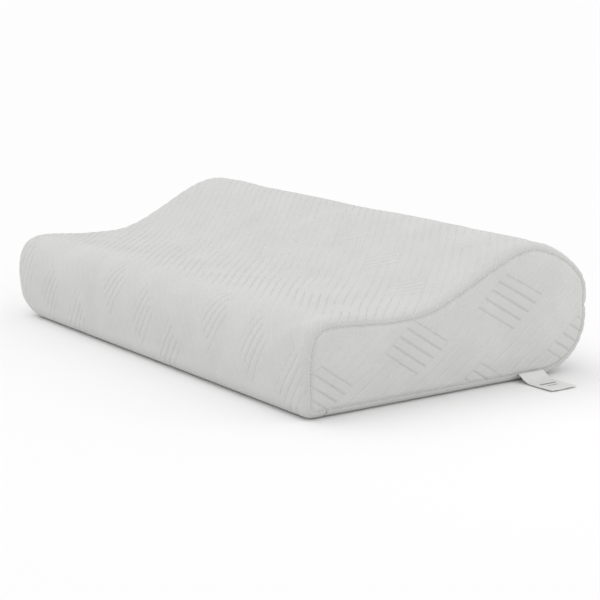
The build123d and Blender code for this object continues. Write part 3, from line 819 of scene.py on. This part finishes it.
def closed_body(inset, end_r, step_x=7.0, step_s=5.0, rough=0.0):
    """(verts, faces) of a closed body at that distance inside the cover's outer face."""
    n = int(TOTAL / step_s)
    s = np.linspace(0, TOTAL, n, endpoint=False)
    y, z, a, b = at(s)
    half = HALF - inset
    turn = np.linspace(math.pi / 2, 0, 6)
    rings = [(-(half - end_r + end_r * math.sin(q)), inset + end_r * (1 - math.cos(q))) for q in turn]
    rings += [(x, inset) for x in np.linspace(-(half - end_r), half - end_r, int(2 * half / step_x))[1:-1]]
    rings += [(-x, i) for x, i in rings[:6][::-1]]
    rows = [np.stack([np.full(n, x), y - a * i, z - b * i], 1) for x, i in rings]
    verts = np.concatenate(rows)
    idx = np.arange(len(verts)).reshape(len(rings), n)
    nxt = np.roll(idx, -1, 1)
    faces = np.stack([idx[:-1], idx[1:], nxt[1:], nxt[:-1]], -1).reshape(-1, 4).tolist()
    ring = rows[0][:, 1:]
    tree = KDTree(len(SGRID))
    for m in range(len(SGRID)):
        tree.insert((LY[m], LZ[m], 0), m)
    tree.balance()
    g = []
    for yy in np.arange(-140, 142, 8.0):
        for zz in np.arange(6, 114, 8.0):
            q, i0, d0 = tree.find((yy, zz, 0))
            if (yy - LY[i0]) * ny[i0] + (zz - LZ[i0]) * nz[i0] < 0 and d0 > inset + end_r + 4:
                g.append((yy, zz))
    co, _, fs, ov, _, _ = delaunay_2d_cdt([Vector(q) for q in ring.tolist() + g], [(m, (m + 1) % n) for m in range(n)], [], 1, 1e-4)
    co = np.array([tuple(c) for c in co])
    extra = []
    for side, row in ((-1, 0), (1, len(rings) - 1)):
        base = len(verts) + sum(len(e) for e in extra)
        where = {}
        fresh = []
        for new, src in enumerate(ov):
            rim = [q for q in src if q < n]
            if rim:
                where[new] = int(idx[row, rim[0]])
            else:
                where[new] = base + len(fresh)
                fresh.append((side * half, co[new][0], co[new][1]))
        extra.append(np.array(fresh))
        for f in fs:
            q = [where[k_] for k_ in f]
            faces.append(q if side > 0 else q[::-1])
    verts = np.concatenate([verts] + extra)
    if rough:
        verts = verts + rough * np.stack([np.sin(verts[:, 1] / 9 + verts[:, 2] / 7), np.sin(verts[:, 0] / 8 + 1), np.cos(verts[:, 0] / 11 + verts[:, 1] / 9)], 1)
    return verts, faces


def volume(verts, faces):
    total = 0.0
    for f in faces:
        for k_ in range(1, len(f) - 1):
            total += np.dot(verts[f[0]], np.cross(verts[f[k_]], verts[f[k_ + 1]]))
    return total


fv, ff = closed_body(5.7, 6.0, rough=0.12)
foam = outward(add_mesh("foam_block", fv, ff, soft=True))
ov_, of_ = closed_body(4.3, 4.0, step_x=6.0, step_s=4.0)
iv_, if_ = closed_body(4.9, 3.4, step_x=6.0, step_s=4.0)
if volume(ov_, of_) < 0:
    of_ = [f[::-1] for f in of_]
if volume(iv_, if_) > 0:
    if_ = [f[::-1] for f in if_]
liner = add_mesh("liner_case", np.concatenate([ov_, iv_]), of_ + [[q + len(ov_) for q in f] for f in if_], soft=True)


def care_cloth():
    ys, zs = np.linspace(11.2, 44.8, 18), np.linspace(10.2, 61.8, 26)
    rows = []
    for x in (-247.15, -247.45):
        Y, Z = np.meshgrid(ys, zs, indexing="ij")
        rows.append(np.stack([x + 0.05 * np.sin(Z / 6), Y, Z], -1).reshape(-1, 3))
    v = np.concatenate(rows)
    it = np.arange(18 * 26).reshape(18, 26)
    ib = it + 18 * 26
    f = np.stack([it[:-1, :-1], it[1:, :-1], it[1:, 1:], it[:-1, 1:]], -1).reshape(-1, 4).tolist()
    f += np.stack([ib[:-1, :-1], ib[:-1, 1:], ib[1:, 1:], ib[1:, :-1]], -1).reshape(-1, 4).tolist()
    rim = np.concatenate([it[:, 0], it[-1, 1:], it[-2::-1, -1], it[0, -2:0:-1]])
    for k_ in range(len(rim)):
        k2 = (k_ + 1) % len(rim)
        f.append([rim[k_], rim[k2], rim[k2] + 18 * 26, rim[k_] + 18 * 26])
    return outward(add_mesh("care_label_cloth", v, f, soft=True))


care = care_cloth()
for ob, material, slot_name, nodes_ in (
    (foam, FOAM, "foam", ("foam_core",)),
    (liner, LINER, "liner", ("liner_wrap", "liner_end_right", "liner_end_left")),
    (care, CARE, "care_label", ("care_label",)),
):
    dress(ob, material)
    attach(ob, "root")
    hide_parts(*nodes_)

# ---------------------------------------------------------------- stitches


def dashes(name, path, direction, length, width, height, face):
    """One mesh of short rounded stitches. path is the centres, direction their run, face the outward side (unit rows)."""
    rings, seg = 5, 6
    verts, faces = [], []
    for c, t, nrm in zip(path, direction, face):
        side_ = np.cross(t, nrm)
        base = len(verts)
        for r in range(rings):
            u = -1 + 2 * r / (rings - 1)
            rad = math.sqrt(max(1 - u**4, 0.03))
            bow = (1 - u * u) * height * 0.35
            for q in range(seg):
                a = 2 * math.pi * q / seg
                verts.append(c + t * u * length / 2 + side_ * math.cos(a) * rad * width / 2 + nrm * (math.sin(a) * rad * height / 2 + bow))
        for r in range(rings - 1):
            for q in range(seg):
                a0, a1 = base + r * seg + q, base + r * seg + (q + 1) % seg
                faces.append((a0, a1, a1 + seg, a0 + seg))
        faces.append(tuple(base + q for q in range(seg))[::-1])
        faces.append(tuple(base + (rings - 1) * seg + q for q in range(seg)))
    return outward(add_mesh(name, np.array(verts), faces, soft=True))


def ring_stitches(name, side):
    n = int(TOTAL / 3.1)
    s = np.linspace(0, TOTAL, n, endpoint=False)
    y, z, a, b = at(s)
    ins = SEAM_IN + 0.25
    c = np.stack([np.full(n, side * 249.05), y - a * ins, z - b * ins], 1)
    t = np.roll(c, -1, 0) - np.roll(c, 1, 0)
    t /= np.linalg.norm(t, axis=1)[:, None]
    t[:, 0] += 0.12
    t /= np.linalg.norm(t, axis=1)[:, None]
    f = np.tile([side * 1.0, 0, 0], (n, 1))
    return dashes(name, c, t, 2.5, 0.8, 0.7, f)


def row_stitches(name, x0, x1, y, z, nrm, pitch_, length=None, width=0.7, height=0.5):
    n = int((x1 - x0) / pitch_)
    x = np.linspace(x0, x1, n)
    c = np.stack([x, np.full(n, y), np.full(n, z)], 1)
    return dashes(name, c, np.tile([1.0, 0, 0], (n, 1)), length or pitch_ * 0.72, width, height, np.tile(nrm, (n, 1)).astype(float))


stitches = [
    (ring_stitches("end_seam_stitches_right", 1), "end_seam_thread_right"),
    (ring_stitches("end_seam_stitches_left", -1), "end_seam_thread_left"),
    (row_stitches("front_seam_stitches", -242, 242, -128, 1.1, (0, 0, -1.0), 3.1), "front_seam_thread"),
    (row_stitches("zip_stitches_upper", -220.5, 220.5, 149.95, 65, (0, 1.0, 0), 3.3), "zip_thread_upper"),
    (row_stitches("zip_stitches_lower", -220.5, 220.5, 149.95, 49, (0, 1.0, 0), 3.3), "zip_thread_lower"),
]
for ob, node in stitches:
    dress(ob, THREAD)
    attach(ob, "root")
    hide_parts(node)

# ---------------------------------------------------------------- zip


def helix(name, z_mid, x0, x1, pitch_=1.55):
    """A nylon coil flattened to the tape: oval turns."""
    turns = int((x1 - x0) / pitch_)
    per = 10
    n = turns * per + 1
    a = np.linspace(0, turns * 2 * math.pi, n)
    x = np.linspace(x0, x1, n)
    ry, rz, wire = 0.72, 1.2, 0.30
    c = np.stack([x, 148.84 + ry * np.cos(a), z_mid + rz * np.sin(a)], 1)
    t = np.gradient(c, axis=0)
    t /= np.linalg.norm(t, axis=1)[:, None]
    up = np.array([1.0, 0, 0])
    s1 = np.cross(t, up)
    s1 /= np.linalg.norm(s1, axis=1)[:, None]
    s2 = np.cross(t, s1)
    seg = 5
    q = np.arange(seg) * 2 * math.pi / seg
    v = c[:, None, :] + wire * (np.cos(q)[None, :, None] * s1[:, None, :] + np.sin(q)[None, :, None] * s2[:, None, :])
    idx = np.arange(n * seg).reshape(n, seg)
    nxt = np.roll(idx, -1, 1)
    faces = np.stack([idx[:-1], nxt[:-1], nxt[1:], idx[1:]], -1).reshape(-1, 4).tolist()
    faces.append(idx[0].tolist()[::-1])
    faces.append(idx[-1].tolist())
    return outward(add_mesh(name, v.reshape(-1, 3), faces))


coil_up = helix("zip_coil_turns_upper", 57 + 2.4, -209.8, 209.8)
coil_lo = helix("zip_coil_turns_lower", 57 - 2.4, -209.8, 209.8)
for ob, node in ((coil_up, "zip_coil_upper"), (coil_lo, "zip_coil_lower")):
    dress(ob, COIL)
    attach(ob, "root")
    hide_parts(node)

# ---------------------------------------------------------------- side label


def label_flap():
    """A folded strip of woven satin: leaves the seam, bends over and lies to the floor."""
    path = spline([(250.8, 6.9), (253.2, 5.6), (256.5, 3.6), (263, 1.35), (270, 0.95), (280, 0.95), (291.3, 1.0)], (0.92, -0.39), (1, 0), step=0.6)
    d = np.gradient(path, axis=0)
    d /= np.linalg.norm(d, axis=1)[:, None]
    nrm = np.stack([-d[:, 1], d[:, 0]], 1)
    m = 40
    ys = np.linspace(69.6, 97.4, m)
    n = len(path)
    u = np.linspace(0, 1, n)
    top, bot = [], []
    for k_ in range(n):
        for y in ys:
            w = (y - 83.5) / 14
            bend = 0.55 * u[k_] ** 1.5 * (0.35 + 0.65 * w * w) * (1 if w > 0 else 0.45) + 0.12 * math.sin(y / 3.1 + u[k_] * 4) * u[k_]
            thick_ = 0.30
            c = np.array([path[k_, 0], y, path[k_, 1] + bend])
            top.append(c + np.array([nrm[k_, 0], 0, nrm[k_, 1]]) * thick_)
            bot.append(c - np.array([nrm[k_, 0], 0, nrm[k_, 1]]) * thick_)
    v = np.array(top + bot)
    v[:, 2] = np.maximum(v[:, 2], 0.25)
    it = np.arange(n * m).reshape(n, m)
    ib = it + n * m
    f = np.stack([it[:-1, :-1], it[:-1, 1:], it[1:, 1:], it[1:, :-1]], -1).reshape(-1, 4).tolist()
    f += np.stack([ib[:-1, :-1], ib[1:, :-1], ib[1:, 1:], ib[:-1, 1:]], -1).reshape(-1, 4).tolist()
    rim_t = np.concatenate([it[:, 0], it[-1, 1:], it[-2::-1, -1], it[0, -2:0:-1]])
    rim_b = rim_t + n * m
    for k_ in range(len(rim_t)):
        k2 = (k_ + 1) % len(rim_t)
        f.append([rim_t[k_], rim_t[k2], rim_b[k2], rim_b[k_]])
    return outward(add_mesh("side_label_flap_cloth", v, f))


label = label_flap()
dress(label, LABEL)
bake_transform(label)
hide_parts("side_label")

# ---------------------------------------------------------------- pieces shown as built

for node, material, slot_name in (
    ("zip_tape_upper", TAPE, "zip_tape"),
    ("zip_tape_lower", TAPE, "zip_tape"),
    ("zip_top_stops", METAL, "zip_metal"),
    ("zip_bottom_stop", METAL, "zip_metal"),
    ("zip_slider", METAL, "zip_metal"),
    ("zip_pull", METAL, "zip_metal"),
    ("side_label_tail", LABEL, "label"),
):
    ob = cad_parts[node]
    ob.data.materials.clear()
    ob.data.materials.append(material)

# ---------------------------------------------------------------- set, light and camera

floor_mesh = bpy.data.meshes.new("floor")
floor_mesh.from_pydata([(-60, -60, 0), (60, -60, 0), (60, 60, 0), (-60, 60, 0)], [], [(0, 1, 2, 3)])
floor = bpy.data.objects.new("floor", floor_mesh)
bpy.context.collection.objects.link(floor)
floor.location.z = -0.0002
fm, fnt, fb = new_material("floor_paper")
fb.inputs["Base Color"].default_value = (0.87, 0.864, 0.866, 1)
fb.inputs["Roughness"].default_value = 0.95
fb.inputs["Specular IOR Level"].default_value = 0.0
floor_mesh.materials.append(fm)

world = bpy.data.worlds.new("studio")
bpy.context.scene.world = world
world.use_nodes = True
bg = world.node_tree.nodes["Background"]
bg.inputs[0].default_value = (1.0, 0.995, 0.997, 1)
bg.inputs[1].default_value = 0.965

sun_data = bpy.data.lights.new("soft_sun", "SUN")
sun_data.energy = 0.66
sun_data.angle = math.radians(55)
sun = bpy.data.objects.new("soft_sun", sun_data)
bpy.context.collection.objects.link(sun)
sun.rotation_euler = (-Vector((-0.55, -0.30, 1.0))).to_track_quat("-Z", "Y").to_euler()

# a weak card behind the near end brightens the back of the end panel, as in the photo
card_data = bpy.data.lights.new("soft_card", "AREA")
card_data.shape = "SQUARE"
card_data.size = 0.28
card_data.energy = 0.09
card_data.spread = math.radians(95)
card = bpy.data.objects.new("soft_card", card_data)
bpy.context.collection.objects.link(card)
card.location = (0.60, 0.42, 0.34)
card.rotation_euler = (-Vector((0.35, 0.35, 0.28))).to_track_quat("-Z", "Y").to_euler()
card.visible_camera = False

cam_data = bpy.data.cameras.new("camera")
cam = bpy.data.objects.new("camera", cam_data)
bpy.context.collection.objects.link(cam)
cam.location = (1.2542, -0.8594, 0.3498)
back = Vector((0.8015, -0.5629, 0.2018)).normalized()
cam.rotation_euler = (-back).to_track_quat("-Z", "Y").to_euler()
cam_data.lens = 99.73
cam_data.sensor_width = 36
cam_data.clip_start, cam_data.clip_end = 0.05, 40
bpy.context.scene.camera = cam

bpy.context.scene.view_settings.view_transform = "Standard"

bpy.context.view_layer.update()
